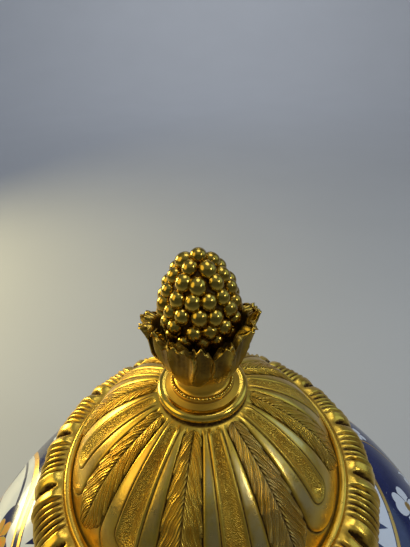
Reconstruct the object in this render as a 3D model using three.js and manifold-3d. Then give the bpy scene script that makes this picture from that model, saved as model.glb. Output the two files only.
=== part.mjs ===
// A covered porcelain potiche in gilt-bronze mounts: a hollow baluster vase on a round plinth, a domed
// fluted lid with a ruffled border that lifts off, and a finial of berries in a cup of leaves.
// Millimetres, +Z up, origin at the centre of the underside. Angles run from -Y towards +X.
import * as THREE from "three";
import { mergeVertices } from "three/addons/utils/BufferGeometryUtils.js";
import Module from "manifold-3d";

const wasm = await Module();
wasm.setup();

// Driving dimensions: radii from the axis, heights above the underside, angles in degrees
const GAP = 0.3;
const PLINTH = { radius: 94, waist: 82, top: 80, height: 36, step: 9, chamfer: 1 };
const VASE = {
  foot: 75,
  footRise: 7,
  waist: 71,
  waistRise: 15,
  belly: 131,
  bellyZ: 281,
  shoulder: 48,
  shoulderZ: 362,
  wall: 6,
  floor: 8,
  sides: 24,
};
const NECK = { radius: 53, bore: 48.5, root: 3, top: 391 };
const BORDER = {
  fillet: 53.4,
  edge: 68,
  top: 401,
  edgeZ: 388.6,
  ledge: 398.6,
  thickness: 3,
  units: 16,
  eyeDepth: 1.5,
  ridge: 0.9,
};
const LIP = { radius: 47.2, wall: 2.6, drop: 10 };
const DOME = {
  rim: 52,
  rimZ: 400.6,
  crown: 14.4,
  crownZ: 437.2,
  top: 437.7,
  bulge: 0.12,
  wall: 3,
  flutes: 8,
  fluteEnd: 0.25,
  leafEnd: 0.15,
};
const RELIEF = { fluteDepth: 0.9, fluteLip: 0.25, groove: 0.45, leaf: 0.75 };
const FLANGE = { radius: 16, z: 438, rise: 2.2, dish: 10.6, beads: 9.9, beadZ: 444, spool: 8.6, top: 451.2 };
const CUP = { base: 8.6, mouth: 17, tip: 20, valleyZ: 466.5, tipZ: 471, wall: 1.4, leaves: 5, floor: 3 };
const KNOP = { radius: 11.5, middle: 473, crest: 492.8, low: 466, berry: 2.2, rowPitch: 5.05, pitch: 5.3 };
const FIRST_FLUTE = 11.25;
const FIRST_LEAF = 36;
const RAD = Math.PI / 180;

const point = (radius, z) => new THREE.Vector2(radius, z);

// Turned work

// Direction square to a profile at each of its points, pointing out of the material.
function outward(profile) {
  return profile.map((p, i) => {
    const before = profile[Math.max(i - 1, 0)];
    const after = profile[Math.min(i + 1, profile.length - 1)];
    return point(after.y - before.y, before.x - after.x).normalize();
  });
}

// A profile moved into the material by a wall thickness.
function inset(profile, wall) {
  const normals = outward(profile);
  return profile.map((p, i) => p.clone().addScaledVector(normals[i], -wall));
}

// Turns a profile about Z through a list of angles; height gives the relief at a profile point and angle.
function turn(profile, angles, height = () => 0) {
  const geometry = new THREE.LatheGeometry(profile, angles.length);
  const position = geometry.attributes.position;
  const normals = outward(profile);
  for (let k = 0; k < position.count; k++) {
    const j = k % profile.length;
    const angle = angles[Math.floor(k / profile.length) % angles.length];
    const p = profile[j].clone().addScaledVector(normals[j], height(j, angle));
    position.setXYZ(k, p.x * Math.sin(angle * RAD), -p.x * Math.cos(angle * RAD), p.y);
  }
  return geometry;
}

const evenAngles = (sides) => Array.from({ length: sides }, (_, i) => (i * 360) / sides);

// The same half pattern of angles mirrored about each of several repeats round the circle.
function repeatAngles(half, repeats, first) {
  const period = 360 / repeats;
  const mirrored = half.slice(1, -1).map((a) => period - a).reverse();
  const one = [...half, ...mirrored];
  return Array.from({ length: repeats }, (_, i) => one.map((a) => first + i * period + a)).flat();
}

// Angle from the nearest of several evenly spaced centre lines, without sign.
function fromCentre(angle, repeats, first) {
  const period = 360 / repeats;
  const turned = (((angle - first) % period) + period) % period;
  return Math.min(turned, period - turned);
}

// Straight-line interpolation in a short table of [x, y] pairs.
function along(table, x) {
  const next = table.findIndex(([end]) => end >= x);
  if (next <= 0) return table[next === 0 ? 0 : table.length - 1][1];
  const [x0, y0] = table[next - 1];
  const [x1, y1] = table[next];
  return y0 + ((y1 - y0) * (x - x0)) / (x1 - x0);
}

// Joins and cuts

function solidOf(geometry) {
  const bare = geometry.clone();
  bare.deleteAttribute("normal");
  bare.deleteAttribute("uv");
  const merged = mergeVertices(bare, 1e-3);
  const vertProperties = merged.attributes.position.array;
  return new wasm.Manifold(new wasm.Mesh({ numProp: 3, vertProperties, triVerts: merged.index.array }));
}

function geometryOf(solid) {
  const { vertProperties, triVerts } = solid.getMesh();
  const geometry = new THREE.BufferGeometry();
  geometry.setAttribute("position", new THREE.BufferAttribute(vertProperties, 3));
  geometry.setIndex(new THREE.BufferAttribute(triVerts, 1));
  geometry.computeVertexNormals();
  return geometry;
}

// Plinth: a square step, a hollow moulding, a torus and a flat top under the vase's foot.
function plinthGeometry() {
  const { radius, waist, top, height, step, chamfer } = PLINTH;
  const torus = (height - step) / 4;
  const outline = new THREE.Path();
  outline.moveTo(0, 0).lineTo(radius - chamfer, 0).lineTo(radius, chamfer);
  outline.lineTo(radius, step - chamfer).lineTo(radius - chamfer, step);
  outline.quadraticCurveTo(waist, step, waist, height - 3 * torus);
  outline.absellipse(waist, height - 2 * torus, torus * 0.8, torus, -Math.PI / 2, Math.PI / 2, false);
  outline.lineTo(top, height - torus).lineTo(top, height - chamfer);
  outline.lineTo(top - chamfer, height).lineTo(0, height);
  return turn(distinct(outline.getPoints(2)), evenAngles(VASE.sides));
}

// Drops points that repeat the one before.
function distinct(points) {
  return points.filter((p, i) => i === 0 || p.distanceTo(points[i - 1]) > 1e-3);
}

// Vase: one hollow porcelain wall from the foot, over the belly and the round shoulder, to an open neck.
function vaseGeometry() {
  const { foot, footRise, waist, waistRise, belly, bellyZ, shoulder, shoulderZ, wall, floor, sides } = VASE;
  const base = PLINTH.height + GAP;
  const swell = (bellyZ - base) / 3;
  const shoulderTurn = Math.acos((NECK.radius + NECK.root / 2 - shoulder) / (belly - shoulder));
  const body = (steps) => {
    const path = new THREE.Path();
    path.moveTo(waist, base + waistRise);
    path.bezierCurveTo(waist, base + waistRise + swell, belly, bellyZ - swell, belly, bellyZ);
    path.absellipse(shoulder, bellyZ, belly - shoulder, shoulderZ - bellyZ, 0, shoulderTurn, false);
    return distinct(path.getPoints(steps));
  };
  const outside = [
    point(0, base),
    point(foot - 1, base),
    point(foot, base + 1),
    point(foot - 1, base + footRise),
    ...body(5),
    point(NECK.radius, shoulderZ + NECK.root),
    point(NECK.radius, NECK.top - 1),
    point(NECK.radius - 1, NECK.top),
  ];
  const inside = [
    point(NECK.bore, NECK.top),
    point(NECK.bore, shoulderZ - NECK.root),
    ...inset(body(3), wall).reverse().slice(1),
    point(waist - wall - floor, base + floor),
    point(0, base + floor),
  ];
  return turn([...outside, ...inside], evenAngles(sides));
}

// Lid border: a ring whose convex top is ruffled. Each unit has a hollow eye on its centre line between
// two fat ridges, with a groove to the next unit. A plain lip drops from it into the neck.
function borderGeometry() {
  const { fillet, edge, top, edgeZ, ledge, thickness, units, eyeDepth, ridge } = BORDER;
  const seat = NECK.top + GAP;
  const foot = seat - LIP.drop;
  const start = fillet + 1;
  const quarter = (share, inwards = 0) => {
    const turned = (share * Math.PI) / 2;
    const run = edge - start - inwards;
    return point(start + run * Math.sin(turned), edgeZ + (top - edgeZ - inwards) * Math.cos(turned));
  };
  const profile = [
    point(LIP.radius - LIP.wall, foot),
    point(LIP.radius, foot),
    point(LIP.radius, seat),
    point(NECK.radius + NECK.root / 2, seat),
    quarter(0.65, thickness),
    quarter(1, thickness / 2),
    quarter(0.97),
    quarter(0.68),
    quarter(0.36),
    quarter(0.08),
    point(fillet, top + 0.4),
    point(fillet - 1, ledge),
    point(LIP.radius - LIP.wall, ledge),
    point(LIP.radius - LIP.wall, foot),
  ];
  const unit = 360 / units;
  const eye = [[0, -eyeDepth], [unit / 4, ridge], [unit / 2, -ridge]];
  const scallop = [[0, ridge / 2], [unit / 4, ridge / 4], [unit / 2, -ridge]];
  const ruffle = { 5: [scallop, 1], 6: [scallop, 1], 7: [eye, 0.7], 8: [eye, 1], 9: [eye, 0.5] };
  const angles = repeatAngles(eye.map(([angle]) => angle), units, FIRST_FLUTE);
  return turn(profile, angles, (j, angle) => {
    const [table, weight] = ruffle[j] ?? [eye, 0];
    return weight * along(table, fromCentre(angle, units, FIRST_FLUTE));
  });
}

// Lid dome: an arc from the rim to the crown, hollow below, carved with stippled flutes that end round
// above the rim and with veined leaves between them.
function domeGeometry() {
  const { rim, rimZ, crown, crownZ, top, bulge, wall, flutes, fluteEnd, leafEnd } = DOME;
  const shares = [0, 0.1, 0.2, 0.26, 0.6, 0.94, 1];
  const chord = point(crown - rim, crownZ - rimZ);
  const square = point(chord.y, -chord.x);
  const onArc = (share) => {
    const bow = 4 * bulge * share * (1 - share);
    return point(rim, rimZ).addScaledVector(chord, share).addScaledVector(square, bow);
  };
  const arc = shares.map(onArc);
  const seat = BORDER.ledge + GAP;
  const profile = [point(0, seat), point(rim, seat), ...arc, point(crown - 1, top), point(0, top)];
  const flute = [[0, -RELIEF.fluteDepth], [4.3, 0], [5.5, RELIEF.fluteLip]];
  const leaf = [[13.2, -RELIEF.groove], [14.2, 0], [18.3, RELIEF.leaf], [180 / flutes, 0]];
  const across = [...flute, ...leaf];
  const angles = repeatAngles(across.map(([angle]) => angle), flutes, FIRST_FLUTE);
  const carved = turn(profile, angles, (j, angle) => {
    const share = shares[j - 2] ?? 0;
    const away = fromCentre(angle, flutes, FIRST_FLUTE);
    const reach = away < 9 ? fluteEnd : leafEnd;
    return share > reach && share < 1 ? along(across, away) : 0;
  });
  const ceiling = inset([0, 0.33, 0.67, 1].map(onArc), wall + RELIEF.fluteDepth);
  const hollow = [point(0, seat - 1), point(ceiling[0].x, seat - 1), ...ceiling, point(0, top - wall)];
  return geometryOf(solidOf(carved).subtract(solidOf(turn(hollow, evenAngles(24)))));
}

// Finial base: a burnished flange with a dished top, a step for the row of beads and a waisted spool.
function finialBaseGeometry() {
  const { radius, z, rise, dish, beads, beadZ, spool, top } = FLANGE;
  const profile = [
    point(0, z),
    point(radius - 0.6, z),
    point(radius, z + 0.7),
    point(radius - 0.5, z + rise - 0.5),
    point(radius - 2.4, z + rise),
    point(dish + 1, z + rise + 0.9),
    point(dish, z + 2 * rise),
    point(beads + 0.5, beadZ - 0.6),
    point(beads, beadZ + 0.5),
    point(spool, beadZ + 1.2),
    point(spool - 0.7, (beadZ + top) / 2 + 1),
    point(spool, top),
    point(0, top),
  ];
  return turn(profile, evenAngles(20));
}

// Leaf cup: one flaring wall whose rim rises to the tip of each leaf and falls between them.
function leafCupGeometry() {
  const { base, mouth, tip, valleyZ, tipZ, wall, leaves, floor } = CUP;
  const bottom = FLANGE.top + GAP;
  const rise = [0, 0.08, 0.42, 0.75, 1];
  const outside = rise.map((share) => {
    const flare = Math.sin(share ** 0.6 * 90 * RAD);
    return point(base + (mouth - base) * flare, bottom + (valleyZ - bottom) * share);
  });
  const inside = inset(outside, wall).slice(2, -1).reverse();
  const rimInside = point(mouth - wall * 0.7, valleyZ);
  const hollow = [rimInside, ...inside, point(base - wall, bottom + floor), point(0, bottom + floor)];
  const profile = [point(0, bottom), ...outside, ...hollow];
  const halfLeaf = 180 / leaves;
  const half = [0, 0.28, 0.56, 0.8, 1].map((share) => share * halfLeaf);
  const geometry = turn(profile, repeatAngles(half, leaves, FIRST_LEAF));
  const position = geometry.attributes.position;
  for (let k = 0; k < position.count; k++) {
    const p = new THREE.Vector3().fromBufferAttribute(position, k);
    const away = fromCentre(90 + Math.atan2(p.y, p.x) / RAD, leaves, FIRST_LEAF) / halfLeaf;
    const share = Math.max(0, (p.z - bottom - floor) / (valleyZ - bottom - floor));
    const lobe = share * Math.cos(away * 90 * RAD) ** 0.7;
    const radius = Math.hypot(p.x, p.y);
    const flared = radius > 0 ? 1 + (lobe * share * (tip - mouth)) / radius : 1;
    position.setXYZ(k, p.x * flared, p.y * flared, p.z + lobe * (tipZ - valleyZ));
  }
  return geometry;
}

// Berry knop: rows of round berries, half a step apart, set in an egg-shaped core.
function berryKnopGeometry() {
  const { radius, middle, crest, low, berry, rowPitch, pitch } = KNOP;
  const bottom = FLANGE.top + GAP + CUP.floor + GAP;
  const egg = new THREE.EllipseCurve(0, middle, radius, crest - middle, Math.PI / 2, -Math.PI / 4, true);
  const core = inset(egg.getPoints(5).reverse(), berry * 0.25).slice(0, -1);
  const profile = [point(0, bottom), point(CUP.base - CUP.wall - 1, bottom), ...core, point(0, crest)];
  const solids = [solidOf(turn(profile, evenAngles(8)))];
  const rows = Math.floor(egg.getLength() / rowPitch);
  for (let row = 0; row <= rows; row++) {
    const centre = egg.getPointAt(Math.min(1, (row * rowPitch) / egg.getLength()));
    if (centre.y < low) continue;
    const count = Math.max(1, Math.round((2 * Math.PI * centre.x) / pitch));
    for (let i = 0; i < count; i++) {
      const angle = ((i + (row % 2) / 2) * 360 * RAD) / count;
      const ball = new THREE.IcosahedronGeometry(berry, 0).rotateX(Math.PI / 2).rotateZ(angle);
      ball.translate(centre.x * Math.sin(angle), -centre.x * Math.cos(angle), centre.y);
      solids.push(solidOf(ball));
    }
  }
  return geometryOf(wasm.Manifold.union(solids));
}

// Finishes

const porcelain = new THREE.MeshStandardMaterial({ color: 0x16225e, roughness: 0.12, metalness: 0 });
const gilt = (color, roughness) => new THREE.MeshStandardMaterial({ color, roughness, metalness: 1 });

// Assembly

function piece(name, geometry, material) {
  const mesh = new THREE.Mesh(geometry, material);
  mesh.name = name;
  return mesh;
}

const potiche = new THREE.Group();
potiche.name = "potiche";
const vase = new THREE.Group();
vase.add(piece("plinth", plinthGeometry(), gilt(0xd9a53a, 0.35)));
vase.add(piece("vase_body", vaseGeometry(), porcelain));
const lid = new THREE.Group();
lid.add(piece("lid_border", borderGeometry(), gilt(0xd8a434, 0.22)));
lid.add(piece("lid_dome", domeGeometry(), gilt(0xd4a040, 0.4)));
lid.add(piece("finial_base", finialBaseGeometry(), gilt(0xe0b048, 0.18)));
lid.add(piece("leaf_cup", leafCupGeometry(), gilt(0xa87a28, 0.25)));
lid.add(piece("berry_knop", berryKnopGeometry(), gilt(0xb08a34, 0.2)));
potiche.add(vase, lid);

export default potiche;
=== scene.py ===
"""A covered porcelain potiche in gilt-bronze mounts: baluster jar, plinth, chased lid and berry finial."""
import math
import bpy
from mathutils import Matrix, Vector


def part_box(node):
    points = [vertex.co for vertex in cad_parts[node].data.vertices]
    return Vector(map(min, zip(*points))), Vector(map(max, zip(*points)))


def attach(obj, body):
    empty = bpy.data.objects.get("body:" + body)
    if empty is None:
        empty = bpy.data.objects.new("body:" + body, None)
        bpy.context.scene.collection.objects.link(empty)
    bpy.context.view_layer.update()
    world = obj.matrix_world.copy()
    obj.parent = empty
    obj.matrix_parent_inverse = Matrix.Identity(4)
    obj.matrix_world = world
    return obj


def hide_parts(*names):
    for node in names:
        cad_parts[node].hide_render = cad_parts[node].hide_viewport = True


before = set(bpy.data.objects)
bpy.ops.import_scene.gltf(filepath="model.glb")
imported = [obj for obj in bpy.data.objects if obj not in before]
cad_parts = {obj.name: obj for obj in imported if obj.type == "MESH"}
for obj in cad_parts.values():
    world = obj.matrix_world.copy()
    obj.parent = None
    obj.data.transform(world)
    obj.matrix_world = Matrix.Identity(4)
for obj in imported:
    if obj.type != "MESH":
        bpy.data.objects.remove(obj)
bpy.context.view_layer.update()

from types import SimpleNamespace as Sizes

import bmesh
import bpy
import numpy as np
from bpy.props import FloatProperty, FloatVectorProperty, IntProperty, PointerProperty
from mathutils import Matrix, Vector

bl_info = {
    "name": "Mounted potiche",
    "version": (1, 0, 0),
    "blender": (4, 5, 0),
    "location": "View3D > Sidebar > Potiche",
    "description": "Builds a covered porcelain potiche with gilt-bronze mounts",
    "category": "Add Mesh",
}

MM = 0.001
WELD = 1e-7
FULL = 2 * math.pi


def reach(node):
    """Largest radius, lowest height and highest height of a node of the frame, in millimetres."""
    low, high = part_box(node)
    return max(high.x, high.y, -low.x, -low.y) / MM, low.z / MM, high.z / MM


# Sizes in millimetres and degrees. Angles run from the front, -Y, towards the right, +X.
# A share runs along a curve, from 0 at its start to 1 at its end.
PLINTH_RADIUS, PLINTH_TOP = reach("plinth")[::2]
PLINTH = Sizes(waist=82, top=80, step=9, grooves=(0.4375, 0.8125))
BELLY, JAR_FOOT, JAR_TOP = reach("vase_body")
JAR = Sizes(foot=75, foot_rise=7, waist=71, waist_rise=15, belly_z=281, floor_edge=57, shoulder=48,
            shoulder_z=362, wall=6, floor=8, neck=53, bore=48.5)
NECK_FOOT = JAR.neck + 1.5
BORDER = Sizes(fillet=53.4, edge=68, top=401, edge_z=388.6, ledge=398.6, units=16, lip=47.2, lip_wall=2.6,
               lip_drop=10, seat=391.3)
RUFFLE_START = BORDER.fillet + 2.1
# Ribs and grooves beside an eye of the border: degrees from the eye, height or depth, and width.
RIBS = ((6.75, 0.8, 0.85), (9.0, 0.5, 0.6))
GROOVES = ((5.5, 0.85, 0.45), (7.95, 1.05, 0.45), (10.1, 0.95, 0.42))
DOME = Sizes(rim=52, rim_z=400.6, crown=14.4, crown_z=437.2, top=437.7, bulge=0.12, wall=3.4, flutes=8,
             seat=398.9)
FIRST_FLUTE = 11.25
FLUTE_STEP = 360 / DOME.flutes
FLUTE = Sizes(half=4.3, start=0.045, end=0.78)
TONGUE = Sizes(half=13.2, round=0.80, end=0.975)
LEAF = Sizes(half=9.3, start=0.042, widest=0.76, tip=0.945, barb=5.8, slant=2.2, hairs=3, top_columns=61,
             back_columns=7)
# The front-right side of the lid, where the painted sheen is palest.
SHEEN_SIDE = 35
FLANGE_Z, SPOOL_TOP = reach("finial_base")[1:]
BEAD = Sizes(ring=10.42, rise=5.75, radius=0.6)
CUP_FLOOR = reach("leaf_cup")[1]
CUP = Sizes(base=9.2, mouth=16.0, half=40, thick=0.72,
            lobes=((0, 0.46, 1.0), (-0.70, 0.34, 0.86), (0.70, 0.34, 0.86)))
# Leaves of the cup: angle, reach, height of the tip, tilt across, twist in radians, seed for the curls.
CUP_LEAVES = ((46, 16.2, 475.2, 2.8, 0.03, 0.3), (104, 15.8, 472.5, -4.5, 0.02, 1.1),
              (180, 15.6, 470.5, 0.0, 0.0, 2.0), (256, 16.4, 469.0, 3.5, -0.05, 2.8),
              (336, 16.2, 474.6, -1.8, -0.03, 3.9))
KNOP = Sizes(radius=11.2, middle=473, crest=492.2, low=466.5, row=4.75, pitch=4.9, point=1.75, longer=0.4,
             foot=6.2, foot_rise=3.3)
# Columns of points round each turned piece, and round one unit of the border.
COLUMNS = Sizes(plinth=256, jar=288, ruffle=60, spool=192, bowl=96, egg=64, floor=96)

# Painting, measured down the outside from the shoulder's top or, for the skirt, up from the floor.
PANEL = Sizes(turn=-88.0, middle=124.0, half_angle=31.0, half_height=88.5, corner=3.0, field=178.0)
# Flowers of a panel: place across, place below its middle, size, petals, twist. One set aside has a twin.
BLOOMS = ((0, -6.0, 24.0, 10, 0.0), (33.0, -42.0, 13.0, 8, 0.4), (30.0, 40.0, 14.0, 8, 0.2),
          (0, 56.0, 9.0, 6, 0.0), (0, -75.0, 10.0, 6, 0.0))
STEM = Sizes(aside=14.0, sway=14.0, bend=0.052, width=1.3, end=66.0)
GROUND = Sizes(first=48.0, step=46.0, petals=5, scroll=13.0, vine=33.0, vine_sway=5.0)
COLLAR = Sizes(middle=19.0, width=22.0, lappets=48, tip=28.0, drop=15.0, root=11.0)
SKIRT = Sizes(middle=74.0, width=52.0, lappets=24, tip=97.0, drop=22.0, inner_tip=90.0, inner_drop=30.0)
# Gold rings: place and width.
COLLAR_RINGS, SKIRT_RINGS = ((31.6, 1.5), (6.0, 1.2)), ((101.0, 1.6), (46.0, 1.6))
# How softly painted lines and lappets end.
BLUR, SOFT = 0.3, 0.6

# Gildings: colour, roughness of the polish, and depth of the grain in metres.
GILDINGS = {"gilt_plinth": ("satin", 0.30, 0.00008), "gilt_border": ("burnished", 0.29, 0.00006),
            "gilt_satin": ("satin", 0.30, 0.00006), "gilt_burnished": ("burnished", 0.19, 0.00003),
            "gilt_leaves": ("antique", 0.22, 0.00005), "gilt_berries": ("antique", 0.20, 0.00003)}
# Deeper gold, for random clouds and for the painted shade on matt parts.
DEEP_TONE = (0.80, 0.62, 0.42)
# Silvery colour that the painted sheen mixes into the gold.
SHEEN_TONE = (0.72, 0.66, 0.52)
# Marks per metre in the gilding, and in the paint and glaze.
MARKS = Sizes(cloud=70.0, rub=110.0, polish=240.0, speck=900.0, stipple=2300.0)
STROKES = Sizes(ripple=34.0, wash=60.0, gloss=150.0, petal=260.0, wear=420.0)
# Depths of fine relief in metres.
RISES = Sizes(stipple=0.00030, barbs=0.00022, ripple=0.0006, gold_line=0.00008)
# Masks of the lid: painted shade in the hollows, stipple, a pale painted sheen, matt gilding deepened by
# painted shade, leaves and barbs.
LID_MASKS = ("hollow", "stipple", "worn", "matt", "leaf", "barbs")

# Studio in metres. Lamps: place, aim, size, the power that they take, their share of it, and colour.
LID = (0, 0, 0.40)
LAMPS = {
    "warm_window": ((-1.25, 0.8, 0.6), LID, 0.55, "key", 1.2, (1.0, 0.86, 0.42)),
    "warm_lamp": ((-1.1, -0.25, 1.05), LID, 1.0, "key", 0.3, (1.0, 0.79, 0.26)),
    "top_lamp": ((0.15, 0.15, 1.6), LID, 0.7, "top", 1.0, (0.97, 0.98, 1.0)),
    "cool_lamp": ((1.2, 0.25, 0.95), LID, 1.0, "fill", 1.1, (0.50, 0.73, 1.0)),
    "small_lamp": ((0.85, -0.5, 1.08), LID, 0.16, "fill", 0.9, (0.90, 0.95, 1.0)),
    "floor_lamp": ((0.2, 3.0, 3.2), (0.2, 5.0, 0.3), 2.0, "back", 1.0, (0.95, 0.97, 1.0)),
}
SKY = {"Color": (0.52, 0.61, 0.78, 1), "Strength": 0.4}
# The sweep of the floor in millimetres: where it starts to bend, how widely, and how high it ends.
SWEEP = Sizes(flat=3000, bend=2500, top=5000)
# Sensor in millimetres, picture and focal length in pixels.
SENSOR, PICTURE, FOCAL = 36.0, (410, 547), 410

COLOUR = {"subtype": "COLOR", "size": 3, "min": 0, "max": 1}
RELIEF = {"unit": "LENGTH", "min": 0, "max": 3 * MM}
POWER = {"unit": "POWER", "min": 0}


class GiltFinish(bpy.types.PropertyGroup):
    """Colours of the gilding"""

    satin: FloatVectorProperty(
        name="Satin gold", description="Gilding of the dome and plinth",
        default=(0.82, 0.55, 0.072), **COLOUR)
    burnished: FloatVectorProperty(
        name="Burnished gold", description="Gilding of the flange and border",
        default=(0.86, 0.59, 0.085), **COLOUR)
    antique: FloatVectorProperty(
        name="Antique gold", description="Gilding of the finial", default=(0.50, 0.345, 0.055), **COLOUR)
    # The hollows' colour, laid on as painted shade in recesses, gaps and undersides.
    recess_shade: FloatVectorProperty(
        name="Hollows", description="Brown dirt and bare bronze in the hollows",
        default=(0.055, 0.024, 0.005), **COLOUR)


class LidRelief(bpy.types.PropertyGroup):
    """Depths of the chasing"""

    flute: FloatProperty(
        name="Flute depth", description="Depth of the stippled flutes", default=1.9 * MM, **RELIEF)
    tongue: FloatProperty(
        name="Tongue height", description="Rise of the plain tongues round the flutes",
        default=0.45 * MM, **RELIEF)
    leaf: FloatProperty(
        name="Leaf height", description="Rise of the feathered leaves", default=0.62 * MM, **RELIEF)
    ruffle: FloatProperty(
        name="Ruffle height", description="Rise of the border's ridges", default=1.2 * MM, **RELIEF)
    berry: FloatProperty(
        name="Berry radius", description="Radius of the finial's berries", default=2.55 * MM, **RELIEF)
    beads: IntProperty(
        name="Beads", description="Number of beads round the spool", default=52, min=12, max=120)


class Porcelain(bpy.types.PropertyGroup):
    """Colours of the painted porcelain"""

    cobalt: FloatVectorProperty(
        name="Cobalt", description="Deep blue ground", default=(0.005, 0.009, 0.060), **COLOUR)
    white: FloatVectorProperty(
        name="White", description="Glazed white ground", default=(0.66, 0.69, 0.72), **COLOUR)
    gold: FloatVectorProperty(
        name="Gold line", description="Painted gold lines", default=(0.62, 0.37, 0.09), **COLOUR)
    flower: FloatVectorProperty(
        name="Flowers", description="Orange-gold painted flowers", default=(0.66, 0.26, 0.035), **COLOUR)
    panels: IntProperty(
        name="Panels", description="Number of white panels round the jar", default=3, min=1, max=6)


class Studio(bpy.types.PropertyGroup):
    """Floor, lamps and camera"""

    floor: FloatVectorProperty(
        name="Floor", description="Colour of the floor", default=(0.47, 0.485, 0.51), **COLOUR)
    key: FloatProperty(
        name="Warm lamps", description="Power of the warm lamps on the left", default=14, **POWER)
    fill: FloatProperty(
        name="Cool lamps", description="Power of the cool lamps on the right", default=1.9, **POWER)
    top: FloatProperty(
        name="Overhead lamp", description="Power of the soft overhead lamp", default=3.6, **POWER)
    back: FloatProperty(
        name="Floor lamp", description="Power of the lamp over the floor behind", default=52, **POWER)
    pitch: FloatProperty(
        name="Pitch", description="How far the camera looks down",
        default=math.radians(32.17), subtype="ANGLE")
    yaw: FloatProperty(
        name="Yaw", description="How far the camera turns to the right",
        default=math.radians(1.03), subtype="ANGLE")
    roll: FloatProperty(
        name="Roll", description="Tilt of the picture", default=math.radians(-1.4), subtype="ANGLE")
    place: FloatVectorProperty(
        name="Camera place", description="Where the camera stands",
        default=(0, -0.1025, 0.5506), subtype="TRANSLATION", size=3)


def smooth(low, high, value):
    """A smooth step from 0 at low to 1 at high."""
    share = np.clip((value - low) / (high - low), 0, 1)
    return share * share * (3 - 2 * share)


def hump(value, centre, width):
    """A rounded bump of height 1 at centre."""
    return np.exp(-(((value - centre) / width) ** 2))


def crest(value, centre, width):
    """A sharp ridge of height 1 at centre."""
    return np.exp(-np.abs((value - centre) / width) ** 1.15)


def wrapped(value, period):
    """The value brought into plus or minus half a period."""
    return (value + period / 2) % period - period / 2


def sheen_side(degrees, width):
    """How near an angle is to the side of the lid that has the most painted sheen, from 0 to 1."""
    return hump(wrapped(degrees - SHEEN_SIDE, 360), 0, width)


def swing(radius, angle, height):
    """Points on circles about the axis."""
    spread = np.broadcast_arrays(radius * np.sin(angle), -radius * np.cos(angle), height)
    return np.stack(spread, axis=-1)


def even_angles(columns):
    """Angles evenly round the axis, one for each column of a grid."""
    return np.arange(columns)[:, None] * FULL / columns


def lathe(profile, angle):
    """A grid of points for a profile of radii and heights, turned to these angles."""
    profile = np.asarray(profile, float)
    return swing(profile[None, :, 0], angle, profile[None, :, 1])


def turned(profile, columns):
    """A grid of points for a profile that is turned evenly all the way round."""
    return lathe(profile, even_angles(columns))


def raised(profile, normal, height, angle):
    """A grid of points that stands off a turned profile by a height, square to it."""
    radius = profile[None, :, 0] + normal[None, :, 0] * height
    level = profile[None, :, 1] + normal[None, :, 1] * height
    return swing(radius, angle, level)


def softened(corners, rounding, steps=5):
    """A profile whose inner corners are rounded off, by less than half of the sides beside them."""
    corners = np.asarray(corners, float)
    points = [corners[:1]]
    share = np.linspace(0, 1, steps)[:, None]
    for before, corner, after in zip(corners, corners[1:], corners[2:]):
        ends = []
        for side in (before - corner, after - corner):
            length = np.linalg.norm(side)
            ends.append(corner + side * (min(rounding, length / 2.05) / length))
        start, end = ends
        points.append(start * (1 - share) ** 2 + corner * 2 * share * (1 - share) + end * share ** 2)
    points.append(corners[-1:])
    return np.concatenate(points)


def outward(profile):
    """Directions square to a profile, pointing out of the material."""
    slope = np.gradient(profile, axis=0)
    normal = np.stack((slope[:, 1], -slope[:, 0]), axis=1)
    return normal / np.linalg.norm(normal, axis=1, keepdims=True)


def run_length(profile):
    """Length along a profile at each of its points."""
    steps = np.linalg.norm(np.diff(profile, axis=0), axis=1)
    return np.concatenate(([0], np.cumsum(steps)))


class Shell:
    """The points, faces and masks of one piece while it is made, in millimetres."""

    def __init__(self, *masks):
        self.points = []
        self.faces = []
        self.masks = {name: [] for name in masks}
        self.count = 0

    def skin(self, grid, around=True, loop=False, **masks):
        """Adds a grid of points, closed round its columns or along its rows if asked."""
        shape = grid.shape[:2]
        index = np.arange(shape[0] * shape[1]).reshape(shape) + self.count
        here = index if around else index[:-1]
        there = np.roll(index, -1, axis=0) if around else index[1:]
        if loop:
            here = np.concatenate((here, here[:, :1]), axis=1)
            there = np.concatenate((there, there[:, :1]), axis=1)
        corners = (here[:, :-1], there[:, :-1], there[:, 1:], here[:, 1:])
        self.points.append(grid.reshape(-1, 3))
        self.faces.append(np.stack(corners, axis=-1).reshape(-1, 4))
        for name, values in self.masks.items():
            values.append(np.broadcast_to(masks.get(name, 0.0), shape).reshape(-1))
        self.count += index.size

    def mesh(self, name):
        """Welds what coincides and returns a smooth mesh with its faces turned outwards."""
        points = np.concatenate(self.points) * MM
        keys = np.round(points / WELD).astype(np.int64)
        first, place = np.unique(keys, axis=0, return_index=True, return_inverse=True)[1:]
        faces = place.reshape(-1)[np.concatenate(self.faces)].tolist()
        faces = [list(dict.fromkeys(face)) for face in faces]
        mesh = bpy.data.meshes.new(name)
        mesh.from_pydata(points[first].tolist(), [], [face for face in faces if len(face) > 2])
        for mask, values in self.masks.items():
            layer = mesh.attributes.new(mask, "FLOAT", "POINT")
            layer.data.foreach_set("value", np.concatenate(values)[first].astype(np.float32))
        turning = bmesh.new()
        turning.from_mesh(mesh)
        bmesh.ops.recalc_face_normals(turning, faces=turning.faces)
        turning.to_mesh(mesh)
        turning.free()
        mesh.shade_smooth()
        return mesh

    def piece(self, name, slot, finish, *nodes):
        """Puts the piece in the scene, on the potiche's one body."""
        piece = bpy.data.objects.new(name, self.mesh(name))
        bpy.context.scene.collection.objects.link(piece)
        piece.data.materials.append(finish)
        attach(piece, "root")
        if nodes:
            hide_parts(*nodes)


def maths(operation):
    """A method that passes this output, and other values, to a Math node."""
    return lambda self, *values: self.sum(operation, *values)


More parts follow.
